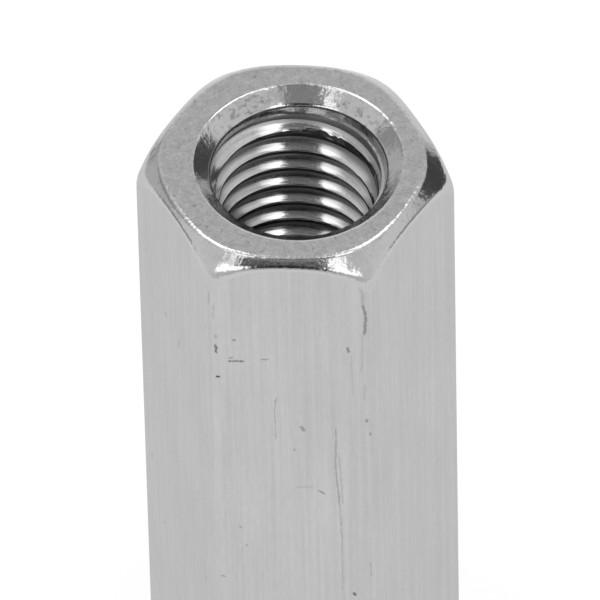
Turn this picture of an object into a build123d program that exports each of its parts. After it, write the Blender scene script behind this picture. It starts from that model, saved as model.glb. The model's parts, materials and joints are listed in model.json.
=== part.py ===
from build123d import *
import os
from math import radians, tan

# A coupling nut: one long hexagonal nut with a threaded hole right through it, standing on one end.
# Lengths are in millimetres and angles in degrees. The origin is the middle of the lower end,
# +Z runs up the hole, and one of the six flats faces -Y.

# The hexagonal bar that the nut is cut from
across_flats = 19.0
length = 50.0
corner_radius = 0.75

# The hole, as drilled for the thread: its wall lies at the crests of the thread
thread_minor_diameter = 10.4

# Each end is a flat ring with a chamfer outside it, which takes off the six corners, and a countersink inside it
ring_inset_from_flats = 0.5
ring_width = 1.8
ring_rim_radius = 0.4
chamfer_angle = 45.0
countersink_angle = 104.0

# Below the countersink a short plain wall lies outside the crests, and the thread begins on the ledge at its foot
relief_outside_crests = 0.83
relief_depth = 1.85

# The tools ran a little off the hole's axis on the upper end, so its ring is wider on the -X side
upper_chamfer_runout_x = -0.14
upper_chamfer_runout_y = -0.12
upper_countersink_runout_x = 0.27
upper_countersink_runout_y = -0.15
upper_relief_runout_x = 0.1
upper_relief_runout_y = -0.05

# How far every cutting shape runs past the end that it cuts
overrun = 1.0

hexagon_inradius = across_flats / 2
bore_radius = thread_minor_diameter / 2
ring_outer_radius = hexagon_inradius - ring_inset_from_flats
ring_inner_radius = ring_outer_radius - ring_width
relief_radius = bore_radius + relief_outside_crests


def hexagonal_bar():
    """The plain bar: a hexagon with rounded corners, as long as the nut."""
    hexagon = RegularPolygon(hexagon_inradius, side_count=6, major_radius=False)
    return extrude(fillet(hexagon.vertices(), corner_radius), length)


def chamfer_cone():
    """What the chamfering tool leaves at the upper end: a cone that widens downwards past the lower end."""
    widening = 1 / tan(radians(chamfer_angle))
    cone = Cone(
        bottom_radius=ring_outer_radius + (length + overrun) * widening,
        top_radius=ring_outer_radius - overrun * widening,
        height=length + 2 * overrun,
    )
    return Pos(0, 0, length / 2) * cone


def countersink_cone():
    """What the countersink takes out of the upper end: a cone with its point down in the hole."""
    widening = tan(radians(countersink_angle / 2))
    depth_to_point = ring_inner_radius / widening
    cone = Cone(
        bottom_radius=0,
        top_radius=ring_inner_radius + overrun * widening,
        height=depth_to_point + overrun,
        align=(Align.CENTER, Align.CENTER, Align.MIN),
    )
    return Pos(0, 0, length - depth_to_point) * cone


def relief_cylinder():
    """What the plain wall under the countersink takes out of the upper end."""
    cylinder = Cylinder(
        relief_radius,
        relief_depth + overrun,
        align=(Align.CENTER, Align.CENTER, Align.MIN),
    )
    return Pos(0, 0, length - relief_depth) * cylinder


def at_lower_end(upper_shape):
    """Turns a shape made for the upper end over to the lower end."""
    return mirror(upper_shape, about=Plane.XY.offset(length / 2))


def chamfered_blank():
    """The bar with its corners taken off at both ends, and the rims of the end faces rounded."""
    upper_cone = Pos(upper_chamfer_runout_x, upper_chamfer_runout_y) * chamfer_cone()
    blank = hexagonal_bar() & upper_cone & at_lower_end(chamfer_cone())
    end_faces = blank.faces().filter_by(Axis.Z)
    return fillet(end_faces.edges(), ring_rim_radius)


def coupling_nut():
    """The blank with the hole drilled through it, and countersunk and relieved at both ends."""
    hole = Pos(0, 0, length / 2) * Cylinder(bore_radius, length + 2 * overrun)
    upper_countersink = Pos(upper_countersink_runout_x, upper_countersink_runout_y) * countersink_cone()
    upper_relief = Pos(upper_relief_runout_x, upper_relief_runout_y) * relief_cylinder()
    nut = chamfered_blank() - hole - upper_countersink - upper_relief
    return nut - at_lower_end(countersink_cone()) - at_lower_end(relief_cylinder())


os.makedirs("parts", exist_ok=True)
export_step(coupling_nut(), "parts/coupling_nut.step")
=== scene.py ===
# %% [markdown]
# # A coupling nut
# This lesson dresses one long steel nut: a hexagonal bar with a threaded hole right through it. The
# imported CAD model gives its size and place, and everything below is worked out in that frame, in
# metres, with +Z up the hole and one flat facing -Y.

# %% Load the frame
import json
import bpy
import numpy as np
from mathutils import Matrix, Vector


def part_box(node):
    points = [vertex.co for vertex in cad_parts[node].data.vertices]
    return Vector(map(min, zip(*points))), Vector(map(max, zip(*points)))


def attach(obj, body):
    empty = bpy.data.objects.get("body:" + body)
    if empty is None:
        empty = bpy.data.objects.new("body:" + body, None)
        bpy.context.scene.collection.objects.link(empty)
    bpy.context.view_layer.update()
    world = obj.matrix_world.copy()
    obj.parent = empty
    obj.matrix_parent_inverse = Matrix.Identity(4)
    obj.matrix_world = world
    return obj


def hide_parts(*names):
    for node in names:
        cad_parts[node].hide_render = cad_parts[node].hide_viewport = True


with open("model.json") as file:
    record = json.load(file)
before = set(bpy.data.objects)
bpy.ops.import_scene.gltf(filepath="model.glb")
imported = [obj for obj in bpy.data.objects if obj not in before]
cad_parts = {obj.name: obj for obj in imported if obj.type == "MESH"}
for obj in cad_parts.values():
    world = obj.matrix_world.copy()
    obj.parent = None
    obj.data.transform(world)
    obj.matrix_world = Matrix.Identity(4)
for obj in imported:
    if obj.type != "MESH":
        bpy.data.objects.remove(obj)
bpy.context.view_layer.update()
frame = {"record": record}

# %% [markdown]
# The nut's main sizes can be read off the CAD model, so they aren't typed a second time: its box gives
# the length, the width across the flats and the width across the corners, and the record gives the
# radius of the hole's wall, which lies at the crests of the thread.

# %% Main sizes
mm = 0.001
_, nut_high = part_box("coupling_nut")
length = nut_high.z
inradius = nut_high.y
mounts = {mount["name"]: mount for mount in frame["record"]["mounts"]}
crest_radius = mounts["thread"]["dims"]["r_mm"] * mm
sharp_corner = inradius / np.cos(np.radians(30))
corner_radius = (sharp_corner - nut_high.x) / (sharp_corner / inradius - 1)
print("length", length, "inradius", inradius, "crest radius", crest_radius, "corner radius", corner_radius)

# %% [markdown]
# Every part of the surface is laid out in the same columns: half planes that stand on the hole's axis,
# so that the outside, the ends and the thread all meet vertex to vertex. The columns stand closer
# together where they pass a rounded corner. A hexagon could be made with Blender's own tools and
# bevelled, but then its columns would not line up with the thread.

# %% Columns round the hexagon
arc_steps = 6
flat_steps = 14


def rounded_hexagon(inradius, corner_radius, arc_steps, flat_steps):
    """Angle and radius of points round a hexagon with rounded corners, the first corner on +X.

    A corner's arc turns 60 degrees about a centre on the corner's own ray. Between two arcs the radius is the
    inradius over the cosine of the angle from the middle of the flat.
    """
    turn = np.radians(np.linspace(-30, 30, arc_steps + 1))
    arc_x = (inradius - corner_radius) / np.cos(np.radians(30)) + corner_radius * np.cos(turn)
    arc_y = corner_radius * np.sin(turn)
    arc_angle = np.arctan2(arc_y, arc_x)
    flat_angle = np.linspace(arc_angle[-1], np.radians(60) - arc_angle[-1], flat_steps + 1)[1:-1]
    flat_radius = inradius / np.cos(flat_angle - np.radians(30))
    corner_turn = np.radians(60) * np.arange(6)[:, None]
    angle = (np.concatenate([arc_angle, flat_angle]) + corner_turn).ravel()
    radius = np.tile(np.concatenate([np.hypot(arc_x, arc_y), flat_radius]), 6)
    return angle, radius


angle, hexagon_radius = rounded_hexagon(inradius, corner_radius, arc_steps, flat_steps)
columns = len(angle)
print("columns", columns)

# %% [markdown]
# Each end was turned: a flat ring, a chamfer outside it that takes the corners off, and a countersink
# inside it. On the upper end both tools ran off the hole's axis, so the ring is wider on one side. The
# chamfer is a cone, and where a cone meets a flat the edge rises in the middle of the flat. One column
# at a time that is only a short profile of radius and depth, so all columns are worked out together as
# arrays: one row for each profile point.

# %% The ends: ring, chamfer and the edge of the flats
ring_radius = 9.0 * mm
ring_wave = 0.016
chamfer_slope = np.radians(45)
on_axis = np.zeros(2)
upper_chamfer_runout = np.array([-0.14, -0.12]) * mm
rim_rounding = 0.6 * mm
rim_rows = 6
edge_break = 0.25 * mm
corner_break = 0.95 * mm
chamfer_rows = 5
edge_rows = 6


def around(radius, runout):
    """Distance from the hole's axis, in every column, of a circle with its centre off the axis by runout."""
    ahead = runout[0] * np.cos(angle) + runout[1] * np.sin(angle)
    aside = runout[0] * np.sin(angle) - runout[1] * np.cos(angle)
    return ahead + np.sqrt(radius**2 - aside**2)


def end_profile(runout):
    """Radius and depth below the end, in rows from the flat ring's rim down to the edge of the flats.

    An arc rounds the ring's rim. From there the chamfer runs straight to the hexagon, and a parabola rounds
    the edge that it makes with the flat.
    """
    rim_radius = ring_radius * (1 + ring_wave * np.cos(6 * angle))
    tilt = np.linspace(0, chamfer_slope, rim_rows + 1)[:, None]
    rim_out = rim_radius + rim_rounding * (np.sin(tilt) - np.tan(chamfer_slope / 2))
    rim_down = rim_rounding * (1 - np.cos(tilt)) + 0 * rim_radius
    x, y = hexagon_radius * np.cos(angle), hexagon_radius * np.sin(angle)
    edge_out = np.hypot(x - runout[0], y - runout[1])
    edge_down = rim_down[-1] + (edge_out - rim_out[-1]) * np.tan(chamfer_slope)
    cornered = (hexagon_radius - inradius) / (hexagon_radius.max() - inradius)
    soft = edge_break + corner_break * cornered**2
    start_out = edge_out - soft * np.cos(chamfer_slope)
    start_down = edge_down - soft * np.sin(chamfer_slope)
    share = np.linspace(0, 1, chamfer_rows + 1)[1:, None]
    chamfer_out = rim_out[-1] + share * (start_out - rim_out[-1])
    chamfer_down = rim_down[-1] + share * (start_down - rim_down[-1])
    bend = np.linspace(0, 1, edge_rows + 1)[1:, None]
    round_out = (1 - bend) ** 2 * start_out + (2 * bend * (1 - bend) + bend**2) * edge_out
    round_down = (1 - bend) ** 2 * start_down + 2 * bend * (1 - bend) * edge_down
    round_down = round_down + bend**2 * (edge_down + soft)
    out = np.concatenate([rim_out, chamfer_out, round_out])
    return around(out, runout), np.concatenate([rim_down, chamfer_down, round_down])


upper_radius, upper_depth = end_profile(upper_chamfer_runout)
lower_radius, lower_depth = end_profile(on_axis)
reach = upper_depth[-1] / mm
print("upper chamfer reaches", round(reach.min(), 2), "to", round(reach.max(), 2), "mm down")

# %% [markdown]
# Inside the ring a countersink leads into the hole: a cone, then a short plain wall, and a narrow ledge
# where the thread begins. It was cut off the axis too, so on the upper end its broken rim is wider on
# one side. It could be turned with a Screw modifier, but that can't run off the axis, so it is one more
# profile in the same columns.

# %% The countersinks
countersink_radius = 7.2 * mm
countersink_slope = np.radians(38)
upper_countersink_runout = np.array([0.27, -0.15]) * mm
relief_runout = np.array([0.1, -0.05]) * mm
rim_breaks = np.array([0.44, 0.16]) * mm
rim_break_turn = np.radians(-43)
relief_radius = 6.03 * mm
relief_depth = 1.85 * mm
relief_edge = 0.2 * mm
ledge_radius = 5.93 * mm
arc_rows = 6


def arc(slope_from, slope_to, rounding):
    """Rows along an arc that tilts from one slope to another: distance inwards and depth, from its start."""
    tilt = np.linspace(slope_from, slope_to, arc_rows + 1)[:, None]
    return rounding * (np.sin(tilt) - np.sin(slope_from)), rounding * (np.cos(slope_from) - np.cos(tilt))


def countersink_profile(runout, wall_runout, breaks):
    """Radius and depth of the rows from the ledge up the wall and the cone, and round the rim to the ring."""
    rim_break = breaks[0] + breaks[1] * np.cos(angle - rim_break_turn)
    rim_in, rim_down = arc(0, countersink_slope, rim_break)
    rim_out = countersink_radius + rim_break * np.tan(countersink_slope / 2) - rim_in
    cone_depth = (countersink_radius - relief_radius) * np.tan(countersink_slope)
    bend = np.pi / 2 - countersink_slope
    edge_in, edge_down = arc(countersink_slope, np.pi / 2, relief_edge / np.tan(bend / 2))
    edge_out = relief_radius + edge_in[-1] - edge_in + 0 * angle
    edge_depth = cone_depth + relief_edge - edge_down[-1] + edge_down + 0 * angle
    share = np.linspace(0, 1, arc_rows)[1:-1, None]
    cone_out = rim_out[-1] + share * (edge_out[0] - rim_out[-1])
    cone_down = rim_down[-1] + share * (edge_depth[0] - rim_down[-1])
    tool_out = around(np.concatenate([rim_out, cone_out, edge_out]), runout)
    wall_out = around(np.full((1, columns), relief_radius), wall_runout)
    ledge_out = np.full((1, columns), ledge_radius)
    foot_depth = np.full((2, columns), relief_depth)
    out = np.concatenate([tool_out, wall_out, ledge_out])
    return out[::-1], np.concatenate([rim_down, cone_down, edge_depth, foot_depth])[::-1]


upper_rim, upper_rim_depth = countersink_profile(upper_countersink_runout, relief_runout, rim_breaks)
lower_rim, lower_rim_depth = countersink_profile(on_axis, on_axis, rim_breaks * np.array([1, 0]))
print("countersink rows", len(upper_rim))

# %% [markdown]
# The hole has a right-hand metric thread. Its surface is one function: the radius at a height and an
# angle depends only on how far that point lies along the pitch, counted from the crest. Below each
# ledge the ridge rises out of the root within part of a turn. The grid's rows follow the helix, so the
# crests stay crisp, and after one turn a row joins the row one pitch above it. At the upper end the
# countersink's tip has cut the first ridge lower on the right, and has torn its crest. A screw-shaped
# sweep would be quicker, but its ends would be cut square.

# %% The thread
pitch = 1.75 * mm
root_radius = 6.0 * mm
flank_angle = np.radians(30)
crest_flat = 0.14 * mm
crest_rounding = 0.03 * mm
root_rounding = 0.12 * mm
thread_start = 0.6
start_depths = (2.2 * mm, 2.75 * mm)
torn_depth = 0.22 * mm
torn_height = length - 3.1 * mm
torn_pitch = 0.055
torn_teeth = 37.0
torn_share = 0.62
tip_mouth = 6.04 * mm
tip_taper = 0.19
thread_depth = root_radius - crest_radius
half_crest = crest_flat / 2


def soft_ramp(along, rounding):
    """The larger of along and zero, with the corner between them rounded into a parabola."""
    return np.where(abs(along) < rounding, (along + rounding) ** 2 / (4 * rounding), np.maximum(along, 0))


def smooth_step(value, start, end):
    """Goes smoothly from 0 at start to 1 at end."""
    share = np.clip((value - start) / (end - start), 0, 1)
    return share**2 * (3 - 2 * share)


def thread_radius(height):
    """Radius of the thread at a height in every column: flat crest, straight flank, flat root.

    The place along the pitch is the height less the helix's rise to that column. Towards both ends of the nut
    the ridge sinks into the root, and near the upper end a short stretch of its crest is torn. There the
    countersink's narrow tip, off the axis like the rest of it, has also cut the first ridge lower.
    """
    turns = height / pitch - thread_start - angle / (2 * np.pi)
    from_crest = (turns - np.round(turns)) * pitch
    rise = soft_ramp(abs(from_crest) - half_crest, crest_rounding) / np.tan(flank_angle)
    ridge = soft_ramp(thread_depth - rise, root_rounding)
    crest_height = height - from_crest
    from_end = np.minimum(crest_height, length - crest_height)
    torn = torn_depth * np.exp(-(((crest_height - torn_height) / (torn_pitch * pitch)) ** 2))
    torn = torn * (0.5 + 0.5 * np.sin(torn_teeth * angle) * np.sin(torn_teeth * torn_share * angle))
    tapped = root_radius - np.minimum(ridge, thread_depth - torn) * smooth_step(from_end, *start_depths)
    tip = np.maximum(tip_mouth - tip_taper * (length - height), crest_radius / 2)
    return np.maximum(tapped, around(tip, upper_countersink_runout) + torn)


flank_end = half_crest + thread_depth * np.tan(flank_angle)
root_soft = root_rounding * np.tan(flank_angle)
crest_places = half_crest + crest_rounding * np.array([-1, 0, 1])
root_places = flank_end + root_soft * np.array([-1, -0.5, 0, 0.5, 1])
flank_shares = np.array([0.25, 0.5, 0.75])
flank_places = crest_places[-1] + flank_shares * (root_places[0] - crest_places[-1])
half_places = np.concatenate([crest_places, flank_places, root_places])
places = np.concatenate([[0], half_places, [pitch / 2], pitch - half_places[::-1]]) / pitch
rows_per_turn = len(places)
turn_count = int(np.ceil(length / pitch)) + 3
turns = (places + np.arange(-2, turn_count - 2)[:, None]).ravel()[:, None]
height = pitch * (turns + thread_start + angle / (2 * np.pi))
wall = thread_radius(height)
fold_margin = 0.03 * mm
above = height >= length - relief_depth - fold_margin
below = height <= relief_depth + fold_margin
print("rows per turn", rows_per_turn, "half crest", round(half_crest / mm, 3), "rows", len(turns))

# %% [markdown]
# Now the rows are joined into one closed skin: over the upper ring, down the outside, over the lower
# ring and up through the hole. Two neighbouring rows and two neighbouring columns make two triangles.
# Folded vertices all take the number of the vertex that they were folded onto, and triangles that lose
# their area that way are dropped.

# %% Join the rows into one mesh
side_rows = 24
share = np.linspace(0, 1, side_rows + 2)[1:-1, None]
side_top, side_foot = length - upper_depth[-1], lower_depth[-1]
side_radius = np.broadcast_to(hexagon_radius, (side_rows, columns))
outside_radius = np.concatenate([
    upper_rim, upper_radius, side_radius, lower_radius[::-1], lower_rim[::-1],
])
outside_height = np.concatenate([
    length - upper_rim_depth, length - upper_depth, side_top + share * (side_foot - side_top),
    lower_depth[::-1], lower_rim_depth[::-1],
])
outside_rows = len(outside_radius)
number = np.arange(outside_rows * columns).reshape(outside_rows, columns)
bore_number = outside_rows * columns + np.arange(height.size).reshape(height.shape)
bore_number = np.where(above, number[0], np.where(below, number[-1], bore_number))


def band(lower_left, upper_left, upper_right, lower_right):
    """Two triangles for each four-sided cell, without those that have lost a corner."""
    cells = np.concatenate([
        np.stack([lower_left, upper_left, upper_right], -1).reshape(-1, 3),
        np.stack([lower_left, upper_right, lower_right], -1).reshape(-1, 3),
    ])
    whole = (cells[:, 0] != cells[:, 1]) & (cells[:, 1] != cells[:, 2]) & (cells[:, 2] != cells[:, 0])
    return cells[whole]


next_outside = np.roll(number, -1, axis=1)
outside_faces = band(number[:-1], number[1:], next_outside[1:], next_outside[:-1])
next_bore = np.concatenate([bore_number[:-rows_per_turn, 1:], bore_number[rows_per_turn:, :1]], axis=1)
same_bore = bore_number[:-rows_per_turn]
bore_faces = band(same_bore[:-1], same_bore[1:], next_bore[1:], next_bore[:-1])
radius = np.concatenate([outside_radius.ravel(), wall.ravel()])
level = np.concatenate([outside_height.ravel(), height.ravel()])
turned = np.concatenate([np.tile(angle, outside_rows), np.tile(angle, len(height))])
points = np.stack([radius * np.cos(turned), radius * np.sin(turned), level], axis=1)
faces = np.concatenate([outside_faces, bore_faces])
used, faces = np.unique(faces, return_inverse=True)
faces = faces.reshape(-1, 3)
points = points[used]

nut_mesh = bpy.data.meshes.new("threaded_nut")
nut_mesh.vertices.add(len(points))
nut_mesh.vertices.foreach_set("co", points.ravel())
nut_mesh.loops.add(faces.size)
nut_mesh.loops.foreach_set("vertex_index", faces.ravel().astype(np.int32))
nut_mesh.polygons.add(len(faces))
nut_mesh.polygons.foreach_set("loop_start", np.arange(0, faces.size, 3, dtype=np.int32))
nut_mesh.update(calc_edges=True)
nut_mesh.validate()
nut_mesh.polygons.foreach_set("use_smooth", np.ones(len(faces), dtype=bool))
nut_mesh.set_sharp_from_angle(angle=np.radians(35))
nut = bpy.data.objects.new("threaded_nut", nut_mesh)
bpy.context.scene.collection.objects.link(nut)
end_rows = len(upper_rim) + len(upper_radius)
first_row = outside_faces.min(axis=1) // columns
on_end = (first_row < end_rows - 1) | (first_row >= outside_rows - end_rows)
region = np.concatenate([np.where(on_end, 1, 0), np.full(len(bore_faces), 2)])
nut_mesh.polygons.foreach_set("material_index", region.astype(np.int32))
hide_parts("coupling_nut")
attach(nut, "root")
print("triangles", len(faces), "points", len(points))

# %% [markdown]
# The whole nut is bare steel, but three tools have left three finishes on it: flats with fine lines
# along the bar, turned ends, and a thread with streaks along its helix. Pictures could be wrapped round
# it, but they would stretch at the corners. Here each finish is a few noises in the object's own
# coordinates, so every lump and line keeps the size that it has on the metal. First come some short
# helpers for the node trees.

# %% Helpers for materials
def add(tree, kind, inputs=None, **settings):
    """Adds a node, sets its properties, and sets or links its inputs by name or number."""
    made = tree.nodes.new(kind)
    for name, value in settings.items():
        setattr(made, name, value)
    for name, value in (inputs or {}).items():
        if isinstance(value, bpy.types.NodeSocket):
            tree.links.new(value, made.inputs[name])
        else:
            made.inputs[name].default_value = value
    return made


def new_material(name):
    """An empty material and its node tree."""
    material = bpy.data.materials.new(name)
    material.use_nodes = True
    material.node_tree.nodes.clear()
    return material, material.node_tree


def calc(tree, operation, first, second=0.0, clamp=False):
    """A number worked out from one or two others."""
    return add(tree, "ShaderNodeMath", {0: first, 1: second}, operation=operation, use_clamp=clamp).outputs[0]


def vector_calc(tree, operation, first, second, output=0):
    """A vector, or a number at the named output, worked out from two vectors."""
    return add(tree, "ShaderNodeVectorMath", {0: first, 1: second}, operation=operation).outputs[output]


def times(tree, first, *others):
    """The product of two or more numbers."""
    for other in others:
        first = calc(tree, "MULTIPLY", first, other)
    return first


def scaled(tree, vector, scale):
    """A vector made longer or shorter."""
    return add(tree, "ShaderNodeVectorMath", {0: vector, "Scale": scale}, operation="SCALE").outputs[0]


def spread(tree, value, low, high, to_low, to_high):
    """Carries the stretch from low to high over to another stretch and stops at its ends."""
    inputs = {"Value": value, "From Min": low, "From Max": high, "To Min": to_low, "To Max": to_high}
    return add(tree, "ShaderNodeMapRange", inputs).outputs["Result"]


print("helpers ready")

# %% [markdown]
# Noise runs from 0 to 1 but seldom leaves the stretch from 0.3 to 0.7, so that stretch is what gets
# spread over a range of greys. A stretch of less than 1 along one axis draws the lumps out into lines.
# The last helper is the metal itself: all three finishes are the same steel, and reflect a little less
# at grazing angles than a mirror.

# %% Noise, relief and steel
noise_low, noise_high = 0.3, 0.7
grazing_tint = (0.82, 0.82, 0.82, 1)


def noise(tree, place, lump, detail=2.0, stretch=(1, 1, 1)):
    """Noise with lumps of about the given size, in metres, drawn out where stretch is small."""
    inputs = {"Vector": vector_calc(tree, "MULTIPLY", place, stretch), "Scale": 1 / lump, "Detail": detail}
    return add(tree, "ShaderNodeTexNoise", inputs).outputs[0]


def from_noise(tree, value, to_low, to_high):
    """Spreads a noise over a range."""
    return spread(tree, value, noise_low, noise_high, to_low, to_high)


def bump(tree, height, depth, under=None):
    """Normals of a surface whose height runs through depth, in metres, laid over another such surface."""
    inputs = {"Height": height, "Distance": depth, "Strength": 1.0}
    if under:
        inputs["Normal"] = under
    return add(tree, "ShaderNodeBump", inputs).outputs["Normal"]


def steel(tree, grey, roughness, normal):
    """The shader that every finish of the nut ends in."""
    inputs = {"Base Color": grey, "Metallic": 1.0, "Roughness": roughness, "Normal": normal}
    shader = add(tree, "ShaderNodeBsdfPrincipled", inputs | {"Specular Tint": grazing_tint})
    add(tree, "ShaderNodeOutputMaterial", {"Surface": shader.outputs["BSDF"]})


def from_middle(tree, along_z):
    """Height above or below the middle of the nut, so that both ends get the same finish."""
    return calc(tree, "ABSOLUTE", calc(tree, "SUBTRACT", along_z, length / 2))


def off_axis(tree, place):
    """Distance from the hole's axis."""
    level_place = vector_calc(tree, "MULTIPLY", place, (1, 1, 0))
    return add(tree, "ShaderNodeVectorMath", {0: level_place}, operation="LENGTH").outputs["Value"]


print("grazing tint", grazing_tint[0])

# %% [markdown]
# The three flats at the front carry nicks and scratches, and the nut would look too new without them.
# Each is one or more short lines: how far across its flat and how far below the upper end it starts and
# ends, half its width, all in millimetres, and how dark it is. They could be cut into the mesh, but
# they are only hundredths of a millimetre deep, so they darken the steel instead.

# %% Marks on the flats
flat_turns = {"left": -60, "front": 0, "right": 60}
marks = [
    ("front", -4.27, 10.05, -3.35, 10.03, 0.09, 0.6),
    ("front", -4.2, 9.75, -4.1, 9.7, 0.09, 0.5),
    ("front", -2.05, 9.83, -1.65, 9.8, 0.08, 0.4),
    ("front", -5.08, 11.7, -5.0, 11.7, 0.11, 0.9),
    ("front", -5.16, 8.5, -5.14, 9.2, 0.1, 0.65),
    ("front", -5.13, 7.4, -5.13, 7.7, 0.08, 0.25),
    ("front", -3.89, 7.88, -3.89, 7.9, 0.12, 0.5),
    ("front", 3.87, 8.5, 3.86, 8.9, 0.11, 0.5),
    ("front", 4.95, 4.1, 5.13, 5.4, 0.1, 0.5),
    ("front", 5.13, 5.4, 5.0, 7.0, 0.1, 0.5),
    ("front", 4.1, 9.3, 4.15, 13.5, 0.05, 0.2),
    ("front", 0.55, 16.8, 0.7, 17.1, 0.14, 0.4),
    ("front", 0.02, 19.1, 0.05, 19.2, 0.09, 0.3),
    ("front", 1.7, 23.4, 2.05, 23.7, 0.08, 0.5),
    ("front", 0.2, 23.04, 1.2, 23.0, 0.12, 0.12),
    ("front", 2.94, 16.9, 2.85, 20.87, 0.06, 0.3),
    ("front", 2.85, 20.87, 3.1, 25.06, 0.06, 0.38),
    ("front", 3.1, 25.06, 3.2, 28.33, 0.05, 0.3),
    ("front", 3.2, 28.33, 3.19, 33.85, 0.05, 0.22),
    ("front", 3.1, 19.5, 3.3, 24.6, 0.05, 0.25),
    ("front", -1.15, 13.9, -1.25, 15.4, 0.06, 0.3),
    ("front", -1.25, 15.4, -1.2, 18.1, 0.05, 0.25),
    ("front", 5.05, 15.9, 5.08, 16.1, 0.1, 0.4),
    ("front", 5.3, 17.3, 5.32, 17.5, 0.1, 0.4),
    ("front", 5.17, 30.9, 5.2, 32.3, 0.06, 0.2),
    ("front", 4.0, 34.2, 4.05, 34.3, 0.12, 0.75),
    ("front", -5.18, 32.6, -4.95, 32.6, 0.08, 0.4),
    ("front", -5.23, 4.4, -5.26, 5.7, 0.09, 0.15),
    ("front", 4.55, 1.7, 4.9, 2.75, 0.14, 0.16),
    ("front", 4.9, 2.75, 4.93, 4.2, 0.12, 0.2),
    ("front", 4.84, 7.0, 4.78, 10.9, 0.07, 0.13),
    ("front", 4.98, 12.3, 4.9, 13.8, 0.09, 0.13),
    ("front", -3.8, 27.3, -3.78, 27.4, 0.08, 0.3),
    ("front", -3.4, 29.2, -3.38, 29.3, 0.08, 0.3),
    ("left", -1.32, 11.9, -1.28, 12.1, 0.1, 0.5),
    ("left", 5.31, 3.4, 5.27, 4.3, 0.09, 0.2),
    ("left", 0.57, 12.7, 0.57, 13.5, 0.08, 0.25),
    ("left", 3.65, 34.7, 3.7, 34.8, 0.09, 0.3),
    ("left", 2.8, 26.4, 2.85, 26.5, 0.09, 0.3),
    ("left", -4.2, 29.6, -4.2, 29.8, 0.09, 0.3),
    ("left", -2.6, 35.0, -2.6, 35.2, 0.09, 0.3),
]
mark_inner, mark_outer = 0.4, 1.4


def on_flat(flat, across, below):
    """Point on one of the front flats: millimetres to the right of its middle and below the upper end."""
    turn = np.radians(flat_turns[flat])
    out = np.array([np.sin(turn), -np.cos(turn), 0])
    side = np.array([np.cos(turn), np.sin(turn), 0])
    return inradius * out + across * mm * side + (length - below * mm) * np.array([0, 0, 1])


def scratch_mask(tree, place):
    """0 away from the marks, and in a mark its darkness: all that lies near a short line belongs to its mark.

    The nearest point of the line is its start plus a share of its way, held between 0 and 1.
    """
    total = 0.0
    for flat, across, below, to_across, to_below, half_width, darkness in marks:
        start = on_flat(flat, across, below)
        way = on_flat(flat, to_across, to_below) - start
        rest = vector_calc(tree, "SUBTRACT", place, start)
        share = vector_calc(tree, "DOT_PRODUCT", rest, way / (way @ way), "Value")
        nearest = scaled(tree, way, calc(tree, "ADD", share, 0.0, clamp=True))
        away = vector_calc(tree, "DISTANCE", rest, nearest, "Value")
        mark = spread(tree, away, mark_inner * half_width * mm, mark_outer * half_width * mm, darkness, 0.0)
        total = calc(tree, "MAXIMUM", total, mark)
    return total


print("marks", len(marks))

# %% [markdown]
# The flats are as the bar left its die: very fine lines along the bar, broad faint clouds and a grain.
# A lively noise shifts the place at which the marks are looked up, so that their edges are ragged.

# %% The drawn flats
ragged_by = 0.25 * mm
ragged_lump = 0.2 * mm
line_width, line_depth = 0.286 * mm, 0.004 * mm
grain_lump, cloud_lump = 0.222 * mm, 2.86 * mm
along_bar, along_grain, along_cloud = (1, 1, 0.015), (1, 1, 0.25), (1, 1, 0.35)
line_grey = (0.502, 0.578)
grain_gain, cloud_gain = (0.975, 1.025), (0.97, 1.03)
flat_roughness = (0.24, 0.34)

flats, tree = new_material("drawn_flats")
place = add(tree, "ShaderNodeTexCoord").outputs["Object"]
jitter = {"Vector": place, "Scale": 1 / ragged_lump, "Detail": 2.0}
jitter = add(tree, "ShaderNodeTexNoise", jitter).outputs["Color"]
jitter = scaled(tree, vector_calc(tree, "SUBTRACT", jitter, (0.5, 0.5, 0.5)), ragged_by)
scratched = scratch_mask(tree, vector_calc(tree, "ADD", place, jitter))
lines = noise(tree, place, line_width, 3.0, along_bar)
grain = noise(tree, place, grain_lump, 2.0, along_grain)
cloud = noise(tree, place, cloud_lump, 3.0, along_cloud)
grey = from_noise(tree, lines, *line_grey)
grey = times(tree, grey, from_noise(tree, cloud, *cloud_gain), from_noise(tree, grain, *grain_gain))
grey = times(tree, grey, calc(tree, "SUBTRACT", 1.0, scratched))
steel(tree, grey, from_noise(tree, lines, *flat_roughness), bump(tree, lines, line_depth))
nut_mesh.materials.append(flats)
print("flats:", len(tree.nodes), "nodes")

# %% [markdown]
# The ends were turned and then handled: faint rings from the tool, small lumps and a mottle that is
# strongest on the flat ring, and dark smudges of old oil in the back of the countersink. The chamfers
# are cleaner, and at their foot they are as grey as the flats. The mottle is a factor close to 1, so it
# can be eased off by height.

# %% The turned ends
mottle_from, mottle_full = length / 2 - 0.3 * mm, length / 2 - 0.05 * mm
foot_from, foot_to = length / 2 - 2.0 * mm, length / 2 - 1.0 * mm
smudge_beside = (1.6 * mm, 2.4 * mm)
smudge_behind = (2.4 * mm, 3.6 * mm)
smudge_within = (6.65 * mm, 6.95 * mm)
smudge_lump, smudge_lift, smudge_loss = 0.385 * mm, (1, 1, 1.6), 0.42
ring_width, ring_depth = 0.143 * mm, 0.002 * mm
lump_size, lump_depth = 0.625 * mm, 0.024 * mm
dent_size, dent_depth = 0.32 * mm, 0.012 * mm
grain_size, grain_depth = 0.167 * mm, 0.004 * mm
spot_size, spot_grey = 0.455 * mm, 0.72
lump_gain, grain_gain = (0.92, 1.08), (0.91, 1.09)
foot_grey, end_grey = 0.525, 0.555
end_roughness = (0.1, 0.2)
off_ring_mottle = 0.35

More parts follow.
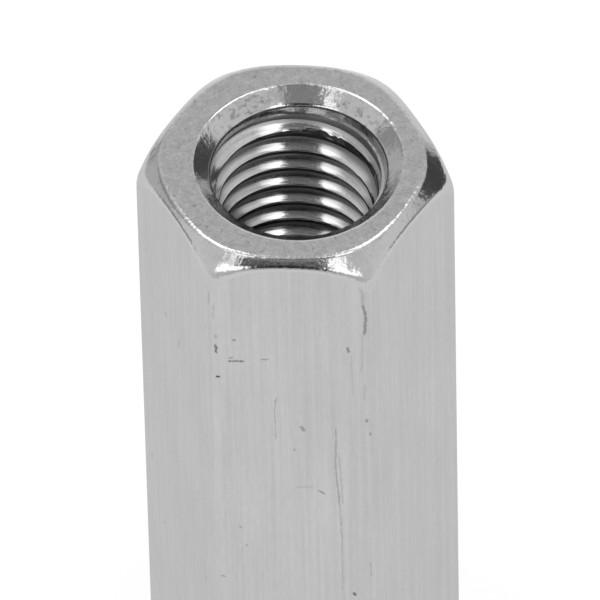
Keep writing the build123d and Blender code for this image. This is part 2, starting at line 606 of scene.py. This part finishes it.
ends, tree = new_material("turned_ends")
place = add(tree, "ShaderNodeTexCoord").outputs["Object"]
along_x, along_y, along_z = add(tree, "ShaderNodeSeparateXYZ", {0: place}).outputs
from_axis = off_axis(tree, place)
rings = {"W": from_axis, "Scale": 1 / ring_width, "Detail": 2.0}
rings = add(tree, "ShaderNodeTexNoise", rings, noise_dimensions="1D").outputs[0]
lumps = noise(tree, place, lump_size)
dents = noise(tree, place, dent_size)
grain = noise(tree, place, grain_size)
spots = spread(tree, noise(tree, place, spot_size, 3.0), 0.62, 0.72, 1.0, spot_grey)
mottle = times(tree, from_noise(tree, lumps, *lump_gain), from_noise(tree, grain, *grain_gain), spots)
height_off = from_middle(tree, along_z)
on_ring = spread(tree, height_off, mottle_from, mottle_full, off_ring_mottle, 1.0)
mottle = calc(tree, "ADD", 1.0, times(tree, on_ring, calc(tree, "SUBTRACT", mottle, 1.0)))
smudge = spread(tree, noise(tree, place, smudge_lump, 3.0, smudge_lift), 0.5, 0.66, 0.0, smudge_loss)
smudge = times(tree, smudge, spread(tree, calc(tree, "ABSOLUTE", along_x), *smudge_beside, 0.0, 1.0))
smudge = times(tree, smudge, spread(tree, along_y, *smudge_behind, 0.0, 1.0))
smudge = times(tree, smudge, spread(tree, from_axis, *smudge_within, 1.0, 0.0))
grey = times(tree, mottle, spread(tree, height_off, foot_from, foot_to, foot_grey, end_grey))
grey = times(tree, grey, calc(tree, "SUBTRACT", 1.0, smudge))
relief = bump(tree, lumps, lump_depth)
relief = bump(tree, dents, dent_depth, relief)
relief = bump(tree, grain, grain_depth, relief)
relief = bump(tree, rings, ring_depth, relief)
steel(tree, grey, from_noise(tree, grain, *end_roughness), relief)
nut_mesh.materials.append(ends)
print("ends:", len(tree.nodes), "nodes")

# %% [markdown]
# The tap leaves streaks along the helix. The roots are dull, and their steel is darkened as painted shade,
# most deep in the hole. Height minus the angle's share of a turn is the same all along one streak, so that
# phase, wound into a circle, is the place where the noise is looked up. A little of the real place is added,
# or a streak would never end. Near the ledges the roots are open, and the painted shade there is lighter.

# %% The tapped thread
root_shade_radii = (5.4 * mm, 5.8 * mm)
root_rough = (5.7 * mm, 5.9 * mm)
open_roots = (length / 2 - 3.6 * mm, length / 2 - 2.4 * mm)
deep_root_shade_grey, open_root_shade_grey = 0.36, 0.9
root_roughness = 0.3
streak_drift = (0.03, 0.03, 0.06)
streak_width, streak_depth = 0.111 * mm, 0.008 * mm
streak_grey, grain_gain = (0.46, 0.68), (0.95, 1.05)
thread_roughness = (0.08, 0.16)
thread_grain = 0.2 * mm

thread, tree = new_material("tapped_thread")
place = add(tree, "ShaderNodeTexCoord").outputs["Object"]
along_x, along_y, along_z = add(tree, "ShaderNodeSeparateXYZ", {0: place}).outputs
phase = times(tree, along_z, 2 * np.pi / pitch)
phase = calc(tree, "SUBTRACT", phase, calc(tree, "ARCTAN2", along_y, along_x))
wound = {"X": calc(tree, "COSINE", phase), "Y": calc(tree, "SINE", phase)}
lay = scaled(tree, add(tree, "ShaderNodeCombineXYZ", wound).outputs[0], pitch / (2 * np.pi))
lay = vector_calc(tree, "ADD", lay, vector_calc(tree, "MULTIPLY", place, streak_drift))
streaks = noise(tree, lay, streak_width, 3.0)
grain = noise(tree, place, thread_grain)
from_axis = off_axis(tree, place)
# Painted shade: the roots are darkened, more deep in the hole than near the ledges.
root_shade_grey = spread(tree, from_middle(tree, along_z), *open_roots, deep_root_shade_grey, open_root_shade_grey)
root_shade_share = spread(tree, from_axis, *root_shade_radii, 0.0, 1.0)
root_painted_shade = times(tree, root_shade_share, calc(tree, "SUBTRACT", 1.0, root_shade_grey))
grey = times(tree, from_noise(tree, streaks, *streak_grey), from_noise(tree, grain, *grain_gain))
grey = times(tree, grey, calc(tree, "SUBTRACT", 1.0, root_painted_shade))
roughness = spread(tree, from_axis, *root_rough, 0.0, root_roughness)
roughness = calc(tree, "ADD", from_noise(tree, grain, *thread_roughness), roughness)
steel(tree, grey, roughness, bump(tree, streaks, streak_depth))
nut_mesh.materials.append(thread)
print("thread:", len(tree.nodes), "nodes")

# %% [markdown]
# The nut stands on a plain white card. Seen by the camera or in the steel, most of the card's white is
# its own, so that it stays white in the picture. The rest is matt paper, on which the nut's soft shadow
# falls. The card is no larger than it needs to be, so the chamfer at the right corner looks past its
# edge into a dark room.

# %% Floor
floor_half = 0.2
own_white = 0.85
floor_mesh = bpy.data.meshes.new("floor")
floor_corners = floor_half * np.array([[-1, -1, 0], [1, -1, 0], [1, 1, 0], [-1, 1, 0]])
floor_mesh.from_pydata(floor_corners.tolist(), [], [(0, 1, 2, 3)])
floor = bpy.data.objects.new("floor", floor_mesh)
bpy.context.scene.collection.objects.link(floor)
paper, tree = new_material("white_paper")
light_path = add(tree, "ShaderNodeLightPath").outputs
seen = calc(tree, "MAXIMUM", light_path["Is Camera Ray"], light_path["Is Glossy Ray"])
matt = add(tree, "ShaderNodeBsdfDiffuse", {"Color": (0.9, 0.9, 0.9, 1)}).outputs[0]
glow = add(tree, "ShaderNodeEmission", {"Color": (1, 1, 1, 1), "Strength": 1.05}).outputs[0]
blend = add(tree, "ShaderNodeMixShader", {0: times(tree, seen, own_white), 1: matt, 2: glow})
add(tree, "ShaderNodeOutputMaterial", {"Surface": blend.outputs[0]})
floor_mesh.materials.append(paper)
print("floor half width", floor_half)

# %% [markdown]
# Bright steel shows little but what stands round it, so the studio matters as much as the steel. It is
# a white tent with softboxes, two strips and some dark gaps. Lamps with shapes would do, but they would
# have to hang close to the nut, in the way of other cameras. So the tent is painted on the sky by
# direction: turn is measured in degrees from the front towards +X, and rise is measured up from the
# horizon.

# %% Directions in the studio
world = bpy.data.worlds.new("studio")
bpy.context.scene.world = world
world.use_nodes = True
tree = world.node_tree
tree.nodes.clear()
way = add(tree, "ShaderNodeTexCoord").outputs["Generated"]
way_x, way_y, way_z = add(tree, "ShaderNodeSeparateXYZ", {0: way}).outputs
turn = times(tree, calc(tree, "ARCTAN2", way_x, times(tree, way_y, -1.0)), 180 / np.pi)
rise = times(tree, calc(tree, "ARCSINE", way_z), 180 / np.pi)


def fade(value, start, end):
    """Goes smoothly from 0 at start to 1 at end."""
    inputs = {"Value": value, "From Min": start, "From Max": end}
    return add(tree, "ShaderNodeMapRange", inputs, interpolation_type="SMOOTHSTEP").outputs["Result"]


def panel(turn_in, turn_out, rise_in, rise_out):
    """A panel of the tent: each pair of numbers is where it begins and where it is whole, in degrees."""
    across = times(tree, fade(turn, *turn_in), fade(turn, *turn_out))
    return times(tree, across, times(tree, fade(rise, *rise_in), fade(rise, *rise_out)))


def toward(value, target, mask):
    """value where the mask is 0 and target where it is 1."""
    return calc(tree, "ADD", value, times(tree, mask, calc(tree, "SUBTRACT", target, value)))


print("studio nodes", len(tree.nodes))

# %% [markdown]
# Each panel has a brightness, and two pairs of degrees each for its sides and for its foot and head.
# The later ones lie over the earlier ones. The softboxes make the white lines along the rims, and the
# strips, which lean together at their feet, make the glints on the front chamfer and along its edge. The
# gap between them is the dark band down the middle of the hole. For the camera itself the sky is plain
# white.

# %% Panels of the tent
tent_front, tent_side, tent_back = 0.66, 0.28, 0.95
back_wall = (0.82, 0.93)
panels = [
    ("low on the left", 0.66, (-152, -148), (-94, -100), (-16, -14), (24, 18)),
    ("low on the right", 0.72, (94, 100), (152, 148), (-16, -14), (24, 18)),
    ("softbox behind on the right", 3.2, (100, 108), (164, 156), (54.5, 58), (76, 70)),
    ("softbox behind on the left", 3.2, (-164, -156), (-100, -108), (54.5, 58), (76, 70)),
    ("softbox on the right", 2.8, (33, 35), (100, 40), (58, 62), (84, 78)),
    ("softbox on the left", 2.2, (-100, -42), (-37, -39), (58, 62), (84, 78)),
    ("strip on the right", 2.2, (21, 23), (38, 30), (4, 10), (50, 46)),
    ("strip on the left", 2.2, (-46, -41), (-33, -35), (4, 10), (58, 54)),
    ("dim part of the strip on the left", 1.2, (-46, -41), (-33, -35), (30, 33), (41, 39)),
    ("gap in front, over the strips", 0.33, (-35, -33), (22, 20), (44, 50), (63, 59)),
    ("gap in front, between the strips", 0.16, (-35, -33), (22, 20), (4, 10), (50, 44)),
    ("foot of the gap in front", 0.03, (-35, -33), (22, 20), (4, 8), (42, 32)),
    ("foot of the strip on the left", 2.2, (-40, -36), (-17, -20), (4, 10), (32, 27)),
    ("foot of the strip on the right", 2.2, (13, 16), (38, 30), (4, 10), (32, 27)),
    ("gap in front, between the softboxes", 0.2, (-39, -37), (44, 42), (60, 64), (82, 77)),
    ("dark room on the right", 0.08, (106, 109), (146, 143), (-16, -14), (29, 26)),
    ("shade on the left", 0.4, (-136, -130), (-96, -102), (17, 21), (44, 38)),
    ("shade behind on the left", 0.45, (-150, -146), (-132, -136), (-16, -14), (4, 2)),
    ("shade beside the right flat", 0.4, (82, 86), (106, 102), (-14, -12), (14, 8)),
    ("shade beside the left flat", 0.4, (-106, -102), (-82, -86), (-14, -12), (14, 8)),
]

tent = calc(tree, "ADD", tent_front, times(tree, way_x, way_x, tent_side))
tent = toward(tent, tent_back, fade(way_y, *back_wall))
for name, brightness, *edges in panels:
    tent = toward(tent, brightness, panel(*edges))
tent = toward(tent, 1.0, add(tree, "ShaderNodeLightPath").outputs["Is Camera Ray"])
sky = add(tree, "ShaderNodeBackground", {"Color": (1, 1, 1, 1), "Strength": tent})
add(tree, "ShaderNodeOutputWorld", {"Surface": sky.outputs[0]})
print("panels", len(panels))

# %% [markdown]
# The camera stands where the photo's stood: about a metre away, 48 degrees up, a little to the right
# and slightly rolled. The nut's top lies high in the picture, so the camera isn't aimed at the nut's
# middle: it turns until the middle of the upper end falls on its own pixel. The lens follows from how
# many pixels a millimetre takes.

# %% Camera
photo_width = 600
view_azimuth, view_elevation = 3.138, 47.815
view_roll = np.radians(-1.332)
distance = 1.049
pixels_per_metre = 14.678 / mm
top_pixel = np.array([294.51, 159.99])
top_middle = np.array([0, 0, length])


def direction(azimuth, elevation):
    """Unit vector from the nut: azimuth from the front, turning towards +X, and elevation, in degrees."""
    turned, risen = np.radians(azimuth), np.radians(elevation)
    return np.array([np.sin(turned) * np.cos(risen), -np.cos(turned) * np.cos(risen), np.sin(risen)])


back = direction(view_azimuth, view_elevation)
level = direction(view_azimuth + 90, 0)
upward = np.cross(back, level)
right = np.cos(view_roll) * level + np.sin(view_roll) * upward
up = np.cos(view_roll) * upward - np.sin(view_roll) * level
to_middle = (photo_width / 2 - top_pixel) / pixels_per_metre
aim = top_middle + right * to_middle[0] - up * to_middle[1]
eye = top_middle + distance * back
back = (eye - aim) / np.linalg.norm(eye - aim)
right = np.cross(up, back)
right = right / np.linalg.norm(right)
up = np.cross(back, right)
camera_data = bpy.data.cameras.new("camera")
camera_data.sensor_width = 36
camera_data.lens = distance * pixels_per_metre / photo_width * camera_data.sensor_width
camera = bpy.data.objects.new("camera", camera_data)
camera.matrix_world = Matrix(np.column_stack([right, up, back, eye]).tolist() + [[0, 0, 0, 1]])
bpy.context.scene.collection.objects.link(camera)
bpy.context.scene.camera = camera
bpy.context.scene.view_settings.view_transform = "Standard"
print("lens", round(camera_data.lens, 1))
